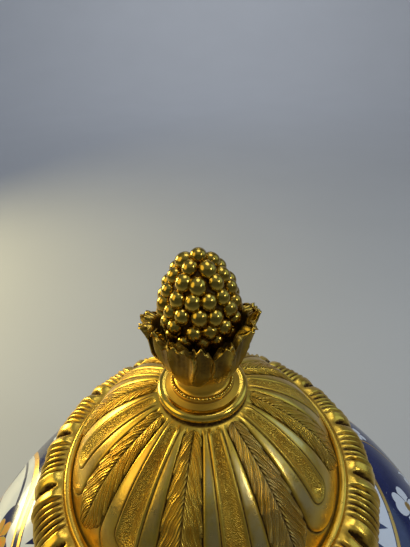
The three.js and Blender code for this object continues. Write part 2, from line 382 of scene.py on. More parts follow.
class Wire:
    """A node's output, with the sums that nodes can do."""

    __add__, __sub__ = maths("ADD"), maths("SUBTRACT")
    __mul__, __truediv__ = maths("MULTIPLY"), maths("DIVIDE")
    __pow__, __abs__ = maths("POWER"), maths("ABSOLUTE")
    cosine, least = maths("COSINE"), maths("MINIMUM")

    def __init__(self, finish, socket):
        self.finish = finish
        self.socket = socket

    def sum(self, operation, *values):
        """The result of a Math node on this output and other values."""
        return self.finish.node("ShaderNodeMath", operation=operation, values=(self, *values))

    def __rsub__(self, other):
        return self.finish.node("ShaderNodeMath", operation="SUBTRACT", values=(other, self))

    def wrap(self, period):
        """The value brought into plus or minus half a period."""
        return self.sum("WRAP", period / 2, -period / 2)

    def most(self, *others):
        """The highest of this value and others."""
        high = self
        for other in others:
            high = high.sum("MAXIMUM", other)
        return high

    def rise(self, low, high):
        """1 above high, 0 below low, smooth between them; low above high turns it round."""
        inputs = (self, low, high, 0.0, 1.0)
        return self.finish.node("ShaderNodeMapRange", values=inputs, interpolation_type="SMOOTHSTEP")

    def line(self, centre, width, blur=BLUR):
        """1 on a line of that width about a value, 0 away from it."""
        return abs(self - centre).rise(width / 2 + blur, width / 2)


class Finish:
    """A procedural material while its nodes are joined."""

    def __init__(self, name):
        self.material = bpy.data.materials.new(name)
        self.material.use_nodes = True
        self.tree = self.material.node_tree
        self.shader = self.tree.nodes["Principled BSDF"]
        self.place = self.node("ShaderNodeTexCoord", output="Object")

    def join(self, value, socket):
        """Links a wire to a socket, or sets the socket to a plain value."""
        if isinstance(value, Wire):
            self.tree.links.new(value.socket, socket)
        else:
            socket.default_value = value

    def node(self, kind, values=(), output=0, named=None, **settings):
        """Adds a node and returns one of its outputs."""
        node = self.tree.nodes.new(kind)
        for name, setting in settings.items():
            setattr(node, name, setting)
        for socket, value in zip(node.inputs, values):
            self.join(value, socket)
        for name, value in (named or {}).items():
            self.join(value, node.inputs[name])
        return Wire(self, node.outputs[output])

    def mask(self, name):
        """A mask that the mesh carries."""
        return self.node("ShaderNodeAttribute", output="Fac", attribute_name=name)

    def noise(self, scale, detail=3.0, roughness=0.55):
        """Cloudy noise with that many marks to the metre."""
        named = {"Vector": self.place, "Scale": scale, "Detail": detail, "Roughness": roughness}
        return self.node("ShaderNodeTexNoise", output="Fac", named=named)

    def cells(self, scale):
        """Distance from the middle of small cells."""
        named = {"Vector": self.place, "Scale": scale}
        return self.node("ShaderNodeTexVoronoi", output="Distance", named=named)

    def mix(self, share, first, second):
        """A colour between two others."""
        node = self.tree.nodes.new("ShaderNodeMix")
        node.data_type = "RGBA"
        for socket, value in zip((node.inputs[0], node.inputs[6], node.inputs[7]), (share, first, second)):
            self.join((*value, 1.0) if isinstance(value, tuple) else value, socket)
        return Wire(self, node.outputs[2])

    def bump(self, height, depth, strength=1.0, normal=None):
        """Shading relief of that depth in metres."""
        named = {"Height": height, "Distance": depth, "Strength": strength}
        if normal:
            named["Normal"] = normal
        return self.node("ShaderNodeBump", output="Normal", named=named)

    def done(self, **sockets):
        """Joins the shader's sockets, named in small letters, and returns the material."""
        for name, value in sockets.items():
            self.join(value, self.shader.inputs[name.replace("_", " ").title().replace("Ior", "IOR")])
        return self.material


def shaded(colour, shares):
    """A colour with each of its parts multiplied by a share."""
    return tuple(part * share for part, share in zip(colour, shares))


def gilding(name, extra=None):
    """Fire-gilt bronze: a pale painted sheen, brown painted shade in the hollows, cloudy polish and a fine
    grain.
    """
    gilt = bpy.context.scene.potiche_gilt
    colour, gloss, grain = GILDINGS[name]
    finish = Finish(name)
    gold = tuple(getattr(gilt, colour))
    # Painted sheen: a paler, silvery gold.
    pale = tuple(0.65 * part + 0.35 * sheen_part for part, sheen_part in zip(gold, SHEEN_TONE))
    cloud = finish.noise(MARKS.cloud, 4.0, 0.6).rise(0.32, 0.72)
    specks = finish.noise(MARKS.speck, 3.0, 0.65)
    sheen_patches = finish.noise(MARKS.rub, 4.0, 0.65).rise(0.3, 0.65)
    matt = finish.mask("matt")
    # Painted shade: where the hollow mask lies, the colour darkens to the hollows' brown, speckled, less
    # metallic and rougher.
    painted_shade = (finish.mask("hollow") * (specks * 0.9 + 0.55)).least(1.0)
    # Deeper gold in random clouds, and on matt parts as painted shade.
    tone = finish.mix((cloud * 0.75).most(matt * 0.85), gold, shaded(gold, DEEP_TONE))
    # The painted sheen lays the paler gold in patches.
    tone = finish.mix(finish.mask("worn") * sheen_patches, tone, pale)
    polish = finish.noise(MARKS.polish, 4.0, 0.6) * 0.16 + (specks * 0.08 + (gloss - 0.12))
    normal = finish.bump(specks, grain)
    return finish.done(
        base_color=finish.mix(painted_shade, tone, tuple(gilt.recess_shade)),
        metallic=1.0 - painted_shade * 0.55,
        roughness=polish + painted_shade * 0.32 + matt * 0.2,
        normal=extra(finish, normal) if extra else normal,
        specular_ior_level=0.2,
    )


def chased_grain(finish, normal):
    """Stippling in the flutes and fine barbs on the leaves."""
    stipple = finish.cells(MARKS.stipple).rise(0.1, 0.75) * finish.mask("stipple")
    normal = finish.bump(stipple, RISES.stipple, 1.0, normal)
    barbs = (finish.mask("barbs") * FULL).cosine() * finish.mask("leaf")
    return finish.bump(barbs, RISES.barbs, 1.0, normal)


def plinth_profile():
    """Step, hollow moulding, torus and flat top."""
    torus = (PLINTH_TOP - PLINTH.step) / 4
    turn = np.linspace(0, math.pi / 2, 15)
    hollow = np.stack((PLINTH.waist + (PLINTH_RADIUS - 1 - PLINTH.waist) * (1 - np.sin(turn)),
                       PLINTH.step + (PLINTH_TOP - 3 * torus - PLINTH.step) * (1 - np.cos(turn))), 1)
    round_turn = np.linspace(-math.pi / 2, math.pi / 2, 25)
    ring = np.stack((PLINTH.waist + torus * 0.8 * np.cos(round_turn),
                     PLINTH_TOP - 2 * torus + torus * np.sin(round_turn)), 1)
    step = softened([(0, 0), (PLINTH_RADIUS, 0), (PLINTH_RADIUS, PLINTH.step), hollow[0]], 1.2)
    top = softened([ring[-1], (PLINTH.top, PLINTH_TOP - torus), (PLINTH.top, PLINTH_TOP),
                    (0, PLINTH_TOP)], 1)
    return np.concatenate((step[:-1], hollow, ring[1:-1], top))


def jar_profile():
    """Outside of the jar from the centre of its foot to the lip, and the inside back to its floor."""
    base = JAR_FOOT
    waist_z, belly_z = base + JAR.waist_rise, JAR.belly_z
    swell = (belly_z - base) / 3
    share = np.linspace(0, 1, 70)[:, None]
    ends = np.array([(JAR.waist, waist_z), (JAR.waist, waist_z + swell),
                     (BELLY, belly_z - swell), (BELLY, belly_z)], float)
    weights = ((1 - share) ** 3, 3 * share * (1 - share) ** 2, 3 * share ** 2 * (1 - share), share ** 3)
    body = sum(weight * end for weight, end in zip(weights, ends))
    turn = np.linspace(0, math.acos((NECK_FOOT - JAR.shoulder) / (BELLY - JAR.shoulder)), 60)[1:]
    shoulder = np.stack((JAR.shoulder + (BELLY - JAR.shoulder) * np.cos(turn),
                         belly_z + (JAR.shoulder_z - belly_z) * np.sin(turn)), 1)
    round_body = np.concatenate((body, shoulder))
    foot = softened([(0, base), (JAR.foot, base), (JAR.foot - 1, base + JAR.foot_rise), body[0]], 2.2)
    neck = softened([shoulder[-1], (JAR.neck, JAR.shoulder_z + 2), (JAR.neck, JAR_TOP),
                     (JAR.bore, JAR_TOP), (JAR.bore, JAR.shoulder_z - 4)], 1.4)
    inside = (round_body - outward(round_body) * JAR.wall)[::-2][2:]
    floor = base + JAR.floor
    bottom = softened([inside[-1], (JAR.floor_edge, floor), (0, floor)], 6)
    outside = np.concatenate((foot[:-1], round_body, neck[1:4]))
    return outside, np.concatenate((neck[4:], inside, bottom[1:]))


def border_relief(share, away, random):
    """Height and hollow mask of the ruffled border at a share of its curve and an angle from an eye."""
    halves = 2 * BORDER.units
    side = np.abs(away)

    def uneven(size):
        """A small random difference for each half of a unit."""
        return np.repeat(random.uniform(-size, size, halves), len(away) // halves)[:, None]

    shared = smooth(11.2, 9.4, side)
    bend = (uneven(0.5) * (share - 0.3) + uneven(0.2) + 0.16 * np.sin(share * 7 + uneven(3.0))) * shared
    ribs = 0.6 * crest(side, 180 / BORDER.units, 0.7)
    for place, height, width in RIBS:
        ribs = ribs + (height + uneven(0.25)) * crest(side + bend, place, width + uneven(0.15))
    grooves = 0
    for place, depth, width in GROOVES:
        grooves = grooves + (depth + uneven(0.3)) * hump(side + bend, place, width)
    slope = 0.5 + 0.5 * np.clip((side + bend - 1.2) / 3.6, 0, 1)
    lobe = (0.95 + uneven(0.2)) * slope * smooth(0.3, 2.6, side) * smooth(5.7, 4.3, side + bend)
    spread = smooth(-0.02, 0.2, share) * smooth(1.16, 0.98, share)
    taper = np.clip((share - 0.12) / 0.2, 0, 1) ** 0.7 * np.clip((0.78 - share) / 0.5, 0, 1) ** 0.8
    eye = smooth(0.45, -0.5, side - 1.1 * taper) * (taper > 0)
    height = spread * (lobe + ribs - grooves) - 2.0 * eye
    # Painted shade in the low grooves and the eyes.
    return height, np.clip(smooth(0.3, -0.4, height) * 1.15 + eye, 0, 1)


def border_points(ruffle, columns):
    """Ruffled border: outside grid, a mask of painted shade in its hollows, and where its curve ends."""
    shares = np.concatenate((np.linspace(0, 0.75, 40), np.linspace(0.75, 1.12, 15)[1:]))
    turn = shares * math.pi / 2
    profile = np.stack((RUFFLE_START + (BORDER.edge - RUFFLE_START) * np.sin(turn),
                        BORDER.edge_z + (BORDER.top - BORDER.edge_z) * np.cos(turn)), 1)
    normal = outward(profile[::-1])[::-1]
    angle = even_angles(columns)
    away = wrapped(np.degrees(angle), 360 / BORDER.units)
    relief, hollow = border_relief(shares[None, :], away, np.random.default_rng(11))
    grid = raised(profile, normal, relief * ruffle, angle + math.radians(FIRST_FLUTE))
    return grid, hollow, profile[-1]


def border_plain(end):
    """Plain parts of the border: the fillet round the dome, and the underside in to the lip."""
    crown, top, ledge = BORDER.fillet, BORDER.top, BORDER.ledge
    lip, seat = BORDER.lip, BORDER.seat
    bore, foot = lip - BORDER.lip_wall, seat - BORDER.lip_drop
    fillet = softened([(bore, ledge), (crown - 1.1, ledge), (crown - 1.1, top), (crown + 0.1, top + 0.75),
                       (crown + 1.3, top + 0.75), (crown + 1.95, top - 0.35), (RUFFLE_START, top)], 0.7)
    under = softened([(end[0] - 2.2, end[1] + 0.4), (BORDER.edge - 6, seat + 1.5), (NECK_FOOT, seat),
                      (lip, seat), (lip, foot), (bore, foot), (bore, ledge)], 0.8, 3)
    return fillet[:-1], under[:-1]


def dome_arc(share):
    """Radius and height on the dome's curve, from the crown at 0 to the rim at 1."""
    share = 1 - np.asarray(share, float)[..., None]
    rim = np.array((DOME.rim, DOME.rim_z), float)
    chord = np.array((DOME.crown, DOME.crown_z), float) - rim
    square = np.array((chord[1], -chord[0]))
    return rim + chord * share + square * 4 * DOME.bulge * share * (1 - share)


def dome_half(degrees, share):
    """Half the width in millimetres of what spans plus or minus these degrees at a share of the curve."""
    return math.radians(degrees) * dome_arc(share)[..., 0]


def dome_frame(share):
    """Point, outward direction and length from the crown at shares of the dome's curve."""
    fine = np.linspace(-0.05, 1.05, 2201)
    curve = dome_arc(fine)
    length = np.interp(share, fine, run_length(curve)) - np.interp(0.0, fine, run_length(curve))
    normal = -outward(curve)
    facing = np.stack([np.interp(share, fine, normal[:, k]) for k in (0, 1)], -1)
    return dome_arc(share), facing, length


def flute_edge(across, length, half):
    """Distance outside the edge of a flute with rounded ends, in millimetres."""
    whole = dome_frame(1.0)[2]
    end_half = dome_half(FLUTE.half, FLUTE.end - 0.05)
    end = FLUTE.end * whole - end_half
    start_half = dome_half(FLUTE.half, FLUTE.start)
    start = FLUTE.start * whole + start_half
    round_end = np.hypot(across, length - end) - np.minimum(end_half, half)
    edge = np.where(length > end, round_end, across - half)
    return np.where(length < start, np.hypot(across, length - start) - start_half, edge)


def tongue_rim(across, length, half):
    """Distance outside the rim of a tongue with a rounded end, in millimetres."""
    whole = dome_frame(1.0)[2]
    start = TONGUE.round * whole
    broad = dome_half(TONGUE.half, TONGUE.round)
    oval = np.hypot(across / broad, (length - start) / (TONGUE.end * whole - start)) - 1
    return np.where(length > start, oval * broad, across - half)


def dome_relief(share, away, depths):
    """Height and masks of stipple, painted shade in the hollows and painted sheen on the dome, at a share
    and an angle from a flute.
    """
    length = dome_frame(share)[2]
    across = np.radians(away) * dome_arc(share)[..., 0]
    half = dome_half(FLUTE.half, share)
    edge = flute_edge(across, length, half)
    rim = tongue_rim(across, length, dome_half(TONGUE.half, share))
    inside = np.clip(-edge / half, 0, 1)
    depth = np.minimum(depths["flute"], half * 0.56)
    flute = -depth * (1 - (1 - inside) ** 1.35)
    lip = 0.30 * hump(edge, 0.42, 0.36) - 0.22 * hump(edge, 1.12, 0.24)
    tongue = depths["tongue"] * (1 - np.exp(np.minimum(rim, 0) / 0.7)) * (rim < 0)
    seam = -0.55 * hump(rim, 0.15, 0.34)
    ground = -0.2 * (rim > 0.3) * smooth(0.99, 0.9, share)
    crown = smooth(0.03, 0.085, share)
    height = crown * (flute + lip + tongue + seam + ground)
    stipple = smooth(0.1, -0.35, edge) * crown
    # Painted sheen along the middles of the tongues, away from crown and rim.
    worn = smooth(1.3, 2.4, edge) * smooth(-0.7, -1.6, rim) * smooth(0.12, 0.3, share)
    worn = worn * smooth(0.9, 0.7, share)
    # Painted shade in the chased lines beside tongues and flutes and a little inside the flutes; the ends
    # darken the crown under the flange and the rim beside the fillet.
    lines = 1.15 * hump(rim, 0.2, 0.45) + 1.05 * hump(edge, 1.12, 0.32) + 0.45 * hump(edge, -0.2, 0.35)
    ends = smooth(0.032, 0.02, share) + 0.7 * smooth(0.975, 0.995, share)
    hollow = np.clip(lines + 0.25 * inside, 0, 1) * crown + ends
    return height, stipple, hollow, worn


def dome_columns():
    """Angles round the dome in degrees, closer together where the chasing is fine."""
    middle = FLUTE_STEP / 2
    spans = ((0, 3.8, 8), (3.8, 6.4, 14), (6.4, 12.2, 9), (12.2, 14.6, 12), (14.6, middle, 9))
    half = np.concatenate([np.linspace(start, end, count, endpoint=False) for start, end, count in spans])
    one = np.sort(np.concatenate((half, FLUTE_STEP - half[::-1][:-1], [middle])))
    return np.concatenate([FIRST_FLUTE + k * FLUTE_STEP + one for k in range(DOME.flutes)])


def dome_inside(point, normal):
    """Inside of the dome, from its rim in to the middle of its ceiling."""
    ceiling = point[::-12] - normal[::-12] * DOME.wall
    rim = DOME.rim + 0.27
    foot = [(rim, DOME.rim_z - 0.1), (rim, DOME.seat), (ceiling[0, 0], DOME.seat)]
    return np.concatenate((foot, ceiling[1:], [(0, DOME.top - DOME.wall)]))


def dome_shell(depths):
    """The fluted dome with its flat crown and plain inside."""
    shares = np.concatenate((np.linspace(0, 0.1, 10), np.linspace(0.1, 0.66, 32)[1:],
                             np.linspace(0.66, 1, 46)[1:]))
    point, normal, _ = dome_frame(shares)
    columns = dome_columns()[:, None]
    away = np.abs(wrapped(columns - FIRST_FLUTE, FLUTE_STEP))
    height, stipple, hollow, worn = dome_relief(shares[None, :], away, depths)
    # The painted sheen is strongest on the front-right side.
    worn = worn * (0.25 + 0.75 * sheen_side(columns, 55))
    angle = np.radians(columns)
    crown = np.array([(0, DOME.top), (DOME.crown - 1, DOME.top)])
    inside = dome_inside(point, normal)
    top = raised(point, normal, height, angle)
    grid = np.concatenate((lathe(crown, angle), top, lathe(inside, angle)), axis=1)
    plain = ((0, 0), (len(crown), len(inside)))
    shell = Shell(*LID_MASKS)
    shell.skin(grid, hollow=np.pad(hollow, plain), stipple=np.pad(stipple, plain), worn=np.pad(worn, plain))
    return shell


def leaf_outline(shares):
    """Width of a leaf along its length, as a share, and how its shell closes at both ends."""
    narrowing = np.clip((shares - LEAF.widest) / (LEAF.tip - LEAF.widest), 0, 1) ** 1.7
    body = smooth(-0.02, 0.10, shares) * np.clip(1 - narrowing, 0, 1) ** 0.75
    closing = np.clip((shares - shares[0]) / 0.01, 0, 1) * np.clip((shares[-1] - shares) / 0.01, 0, 1)
    return body, closing


def leaf_grid(centre, depths):
    """One feathered leaf on the dome: a shell whose top carries barbs and whose back lies in the dome."""
    tip, top, back = LEAF.tip, LEAF.top_columns, LEAF.back_columns
    shares = np.concatenate((np.linspace(LEAF.start, 0.5, 64), np.linspace(0.5, tip, 66)[1:]))
    point, normal, length = dome_frame(shares)
    body, closing = leaf_outline(shares)
    across = np.concatenate((np.linspace(-1, 1, top), np.linspace(1, -1, back + 2)[1:-1]))[:, None]
    below = np.repeat((0.0, 1.0), (top, back))[:, None]
    side = np.abs(across)
    aside = side * dome_half(LEAF.half, shares)
    sway = 0.3 * np.sin(length[None, :] * 0.4 + centre) + 0.12 * np.sin(length[None, :] * 1.1 + 2 * centre)
    phase = (length[None, :] - LEAF.slant * aside) / LEAF.barb + sway * 0.35
    saw = phase - np.floor(phase)
    notch = 1 - 0.13 * (1 - saw) ** 2 * smooth(0.45, 1, side) * (1 - below)
    angle = math.radians(centre) + across * (math.radians(LEAF.half) * body * closing * notch)
    rounded = np.clip(1 - side ** 3.5, 0, 1) ** 0.5
    crease = hump(side, 0, 0.075)
    hairs = 0.065 * np.cos(FULL * LEAF.hairs * phase)
    shingle = (0.36 * (saw ** 1.2 - 0.4) + hairs) * smooth(0.04, 0.3, side)
    lift = depths["leaf"] * rounded * (0.55 + 0.45 * np.sin(side * 2.6)) - 0.45 * crease
    fade = smooth(0.036, 0.095, shares) * smooth(tip + 0.002, tip - 0.03, shares)
    swell = 0.6 * smooth(0.78, tip, shares) * (1 - side ** 2)
    height = (lift + shingle * rounded + swell) * fade
    height = np.where(below > 0, -0.8 * np.sqrt(np.clip(1 - across ** 2, 0, 1)), height) * closing
    # Painted shade in the leaf's middle crease, under each barb and along its edges.
    hollow = np.clip(0.85 * crease + 0.4 * hump(saw, 0.0, 0.14) + 0.5 * smooth(0.88, 1, side), 0, 1)
    return raised(point, normal, height, angle), hollow, phase * LEAF.hairs


def leaf_shell(depths):
    """The feathered leaves that lie between the flutes."""
    shell = Shell(*LID_MASKS)
    for k in range(DOME.flutes):
        centre = FIRST_FLUTE + (k + 0.5) * FLUTE_STEP
        grid, hollow, barbs = leaf_grid(centre, depths)
        # Leaves on the front-right side carry a painted sheen, and slightly matt gilding.
        shell.skin(grid, hollow=hollow, matt=0.15, worn=0.55 * sheen_side(centre, 32), leaf=1.0, barbs=barbs)
    return shell


def spool_profile():
    """Flange with a rolled rim and a dish, the step that carries the beads, and the spool."""
    z = FLANGE_Z
    rim = softened([(0, z), (14.2, z), (14.4, z + 0.3), (15.6, z + 0.4), (16.05, z + 1.1), (16.0, z + 2.2),
                    (15.3, z + 3.1), (14.2, z + 3.45), (13.2, z + 3.3)], 0.9, 6)
    dish = softened([rim[-1], (13.0, z + 3.32), (11.2, z + 4.2), (10.95, z + 4.4), (10.95, z + 5.2)], 0.25)
    step = softened([dish[-1], (10.8, z + 5.35), (10.3, z + 5.4), (9.9, z + 5.6), (9.8, z + 6.2),
                     (9.5, z + 6.4)], 0.2, 4)
    spool = softened([step[-1], (9.0, z + 7.2), (8.45, z + 9.2), (8.4, z + 10.8), (8.8, SPOOL_TOP - 0.3),
                      (8.6, SPOOL_TOP), (0, SPOOL_TOP)], 1.2, 7)
    return np.concatenate((rim, dish[1:], step[1:], spool[1:]))


def spool_marks(profile):
    """Masks along the spool's profile: painted shade in the grooves, under the flange and under the cup,
    and the matt gilding, whose colour is deepened as painted shade.
    """
    radius, rise = profile[:, 0], profile[:, 1] - FLANGE_Z
    grooves = 0.8 * hump(rise, 4.35, 0.12) + 0.9 * hump(rise, 5.6, 0.2)
    # Painted shade under the flange and where the spool meets the cup.
    ends = 0.95 * (rise < 0.42) + 0.6 * hump(profile[:, 1], SPOOL_TOP, 1.0)
    return np.clip(grooves + ends, 0, 1), smooth(13.4, 12.8, radius) * smooth(1, 2, rise)


def cup_bowl():
    """The plain bowl that the cup's leaves grow from."""
    z = CUP_FLOOR
    return softened([(0, z), (8.4, z), (10.2, z + 1.4), (13.0, z + 5.5), (13.9, z + 10.5), (13.4, z + 10.8),
                     (12.2, z + 6), (8.2, z + 3.2), (0, z + 2.9)], 1.0)


def cup_lobes(across, rows, seed):
    """Sway of a cup leaf's veins, height of its lobes, distance from their edges, and lean across each."""
    sway = 0.05 * math.sin(seed) * np.sin(rows * 5 + seed) + 0.08 * np.sin(rows * 2.6 + 2.3 * seed)
    sway = across + sway * (1 - across ** 2)
    big, edge, lean = np.zeros_like(sway), np.full_like(sway, 9.0), np.zeros_like(sway)
    for k, (place, width, tall) in enumerate(CUP.lobes):
        beside = (sway - place - 0.05 * math.sin(3 * seed + 2 * k)) / width
        here = tall * (1 + 0.10 * math.sin(5 * seed + 3 * k)) * np.sqrt(np.clip(1 - beside ** 2, 0, 1))
        lean = np.where(here > big, beside, lean)
        big = np.maximum(big, here)
        edge = np.minimum(edge, np.hypot(beside, np.clip(rows - 0.8, 0, 1) / 0.22))
    return sway, big, edge, lean


def cup_leaf(centre, reach_out, top, tilt, twist, seed):
    """One curled leaf of the cup, three rounded lobes wide: rows run up its outside and down its inside."""
    across = np.linspace(-1, 1, 97)[:, None]
    up = np.linspace(0, 1, 54)[None, :]
    rows = np.concatenate((up, up[:, ::-1]), axis=1)
    inner = np.concatenate((np.zeros_like(up), np.ones_like(up)), axis=1)
    sway, big, edge, lean = cup_lobes(across, rows, seed)
    grown = smooth(0.1, 0.5, rows)
    rolled = hump(edge, 0.86, 0.16) * smooth(0.15, 0.6, rows)
    spoon = np.clip(1 - edge ** 2, 0, 1) * grown
    notch = smooth(0.95, 1.12, edge) * grown
    over = 0.5 * math.copysign(1, math.sin(7 * seed)) * lean * smooth(0.1, 0.6, rows)
    curl = smooth(0.78, 1.0, rows) ** 2 * (1 + 0.45 * np.sin(4.5 * across + 2 * seed))
    frill = 0.36 * np.sin(across * 19 + 4 * seed) * smooth(0.5, 1.0, rows)
    veins = 0.05 * np.cos(sway * 15 * math.pi * (0.65 + 0.35 * rows)) * spoon
    closing = np.sqrt(np.clip(1 - across ** 6, 0, 1))
    thick = CUP.thick * closing * (1 - 0.5 * rows ** 2)
    flare = np.sin(rows ** 0.5 * math.pi / 2)
    radius = CUP.base + (CUP.mouth - CUP.base) * flare + (reach_out - CUP.mouth) * rows ** 3
    radius = radius + 0.7 * big * rows - 1.2 * spoon + 0.8 * rolled - 0.9 * notch + over
    radius = radius + curl * 1.1 * (0.3 + 0.7 * big) + frill
    radius = radius + np.where(inner > 0, -thick, thick + 0.45 * rolled * closing) + veins
    half = math.radians(CUP.half) * (0.62 + 0.38 * np.sin(np.clip(rows * 1.25, 0, 1) * math.pi / 2))
    angle = math.radians(centre) + across * half * (1 - 0.14 * rows ** 4) + twist * rows ** 2
    scallops = 0.020 * np.cos(across * 27 + 3 * seed) + 0.008 * np.sin(across * 43 + 5 * seed)
    long = 0.70 + 0.30 * big + scallops
    hang = (1 - inner) * closing * np.clip(1 - rows / 0.2, 0, 1) ** 1.5 * (0.3 + 1.7 * big)
    height = CUP_FLOOR + 0.2 + (top + tilt * across - CUP_FLOOR) * rows * long - 1.6 * curl * big - hang
    # Painted shade on the leaves' spoons, notches and feet, and low on their insides; the rolled rims are
    # kept clear of it.
    outer = 0.74 * spoon + 0.85 * notch + 0.35 * smooth(0.35, 0.05, rows)
    hollow = np.where(inner > 0, 0.75 * smooth(1, 0.7, rows), outer)
    return swing(radius, angle, height), np.clip(hollow, 0, 1) * (1 - 0.85 * rolled)


def ball(centre, radius, columns, rows, longer=(0, 0, 0)):
    """A round bead as a grid with both poles, drawn out along a direction if asked."""
    tilt = np.linspace(0, math.pi, rows)[None, :]
    angle = even_angles(columns)
    points = np.stack(np.broadcast_arrays(np.sin(tilt) * np.cos(angle), np.sin(tilt) * np.sin(angle),
                                          np.cos(tilt)), -1)
    points[:, 0], points[:, -1] = points[0, 0], points[0, -1]
    longer = np.asarray(longer, float)
    points = points + (points @ longer)[..., None] * longer
    return np.asarray(centre) + points * radius


def berry_places():
    """The egg's curve, and the centre, size share and long direction of each berry on it."""
    random = np.random.default_rng(7)
    up = np.sin(np.linspace(math.pi / 2, -math.pi / 4, 400))
    wide = KNOP.radius * (1 - np.abs(up) ** KNOP.point) ** 0.6
    egg = np.stack((wide, KNOP.middle + (KNOP.crest - KNOP.middle) * up), 1)
    length = run_length(egg)
    slope = np.gradient(egg, length, axis=0)
    places = []
    for row in range(int(length[-1] / KNOP.row) + 1):
        at = row * KNOP.row
        radius, height, out, down = (np.interp(at, length, line) for line in (*egg.T, *slope.T))
        if height < KNOP.low:
            continue
        count = max(1, round(FULL * radius / KNOP.pitch))
        for k in range(count):
            angle = (k + (row % 2) / 2) * FULL / count + random.uniform(-0.07, 0.07) * (count > 1)
            out_by, up_by = random.uniform(-0.25, 0.15), random.uniform(-0.45, 0.35)
            centre = swing(radius + out_by, angle, height + up_by)
            longer = swing(out, angle, down) * KNOP.longer * (count > 1)
            places.append((centre, random.uniform(0.92, 1.06), longer))
    return egg, places


def around(dx, dy, size=1.0, twist=0.0):
    """Distance from a point as a share of a size, and the turn about it."""
    return (dx * dx + dy * dy).sum("SQRT") / size, dy.sum("ARCTAN2", dx) + twist


def flower(far, turn, petals):
    """Petals and heart of a flower, as masks."""
    wave = (turn * (petals / 2)).cosine()
    bloom = (abs(wave) * 0.34 + 0.66 - far).rise(0.0, 0.05)
    ring = abs(wave * 0.5 + far - 0.62).rise(0.05, 0.1)
    return bloom * ring, far.rise(0.26, 0.2)


def whorl(far, turn, petals):
    """Leaves that spread from behind a flower, as a mask."""
    return (abs((turn * (petals / 4) + 0.8).cosine()) ** 1.6 + 0.62 - far).rise(0.0, 0.06)


def panel_flowers(dx, dy):
    """Petals, hearts and leaves with their stems in a white panel, as masks."""
    side = abs(dx)
    masks = []
    for across, below, size, petals, twist in BLOOMS:
        spot = around(side - across if across else dx, dy - below, size, twist)
        masks.append((*flower(*spot, petals), whorl(*spot, petals)))
    petals, hearts, leaves = (first.most(*others) for first, *others in zip(*masks))
    sway = (dy * STEM.bend).cosine() * STEM.sway
    stem = (side - STEM.aside - sway).line(0.0, STEM.width, 0.4)
    return petals, hearts, leaves.most(stem * abs(dy).rise(STEM.end, STEM.end - 4.0))


def ground_scrolls(gap, along):
    """White flowers and scrolls of the cobalt ground, and its gold hearts and vines, as masks."""
    step = GROUND.step
    whole = (along - GROUND.first).wrap(step)
    half = (along - (GROUND.first - step / 2)).wrap(step)
    spots = (around(gap, whole, 10.5), around(gap - 19.0, half, 6.0), around(gap - 45.0, whole, 6.5, 0.3))
    blooms, hearts = zip(*(flower(*spot, GROUND.petals) for spot in spots))
    far, turn = around(gap - GROUND.scroll, half)
    scroll = (turn * 2.0 + far * 0.55).cosine().rise(0.80, 0.92) * far.rise(14.0, 13.0) * far.rise(6.5, 7.5)
    sway = (whole * (FULL / step)).cosine() * GROUND.vine_sway
    vine = (gap - GROUND.vine - sway).line(0.0, 0.9)
    return scroll.most(*blooms), vine.most(*hearts)


def lappet_teeth(angle, count):
    """0 in the middle of each lappet of a row, 1 between two of them."""
    return abs((angle * (count / 360)).wrap(1.0)) * 2.0


